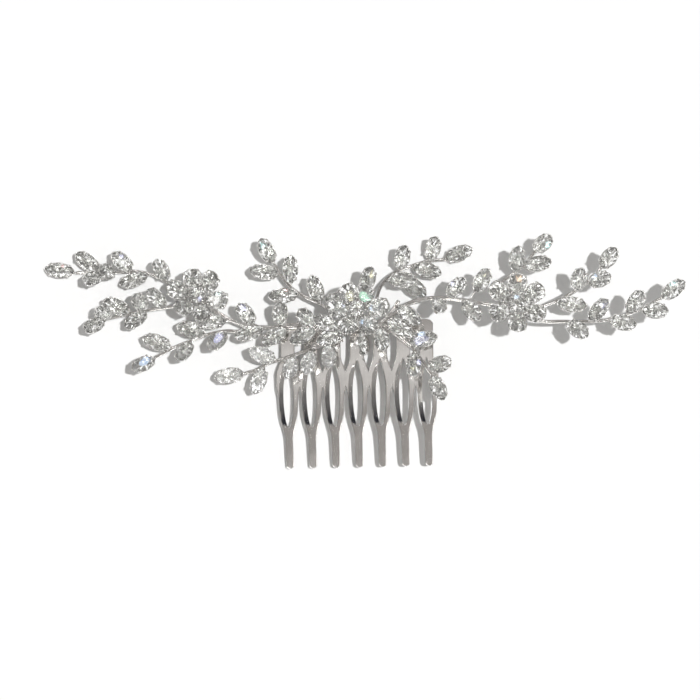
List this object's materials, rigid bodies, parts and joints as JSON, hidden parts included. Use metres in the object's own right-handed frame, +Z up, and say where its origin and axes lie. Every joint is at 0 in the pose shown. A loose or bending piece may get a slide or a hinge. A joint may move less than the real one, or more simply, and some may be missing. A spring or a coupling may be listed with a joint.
{
  "type": "bridal hair comb",
  "caption": "Toothed metal hair comb carrying long wire sprays of claw-set crystal leaves and crystal flowers, bowed and lying stones up.",
  "frame": {"origin": "middle of the footprint, on the plane that the comb lies on", "axes": "+X along the sprays to the right, +Y from the tooth tips to the spine, +Z up out of the stones"},
  "size_m": [0.1587, 0.0576, 0.0137],
  "materials": {
    "comb_metal": "polished plating over steel",
    "wire_metal": "bright silver plating over brass",
    "crystal": "clear cut crystal"
  },
  "bodies": {
    "root": {"comb": "comb_metal", "binding_wire": "wire_metal", "main_branch": "wire_metal", "main_branch_stones": "crystal", "left_flower": "wire_metal", "left_flower_stones": "crystal", "centre_flower": "wire_metal", "centre_flower_stones": "crystal", "right_flower": "wire_metal", "right_flower_stones": "crystal", "centre_leaves": "wire_metal", "centre_leaves_stones": "crystal", "left_upper_spray": "wire_metal", "left_upper_stones": "crystal", "left_middle_spray": "wire_metal", "left_middle_stones": "crystal", "left_lower_spray": "wire_metal", "left_lower_stones": "crystal", "upper_spray": "wire_metal", "upper_stones": "crystal", "lower_spray": "wire_metal", "lower_stones": "crystal", "right_upper_spray": "wire_metal", "right_upper_stones": "crystal", "right_top_spray": "wire_metal", "right_top_stones": "crystal", "right_middle_spray": "wire_metal", "right_middle_stones": "crystal", "right_long_spray": "wire_metal", "right_long_stones": "crystal", "drooping_spray": "wire_metal", "drooping_stones": "crystal"}
  },
  "joints": []
}
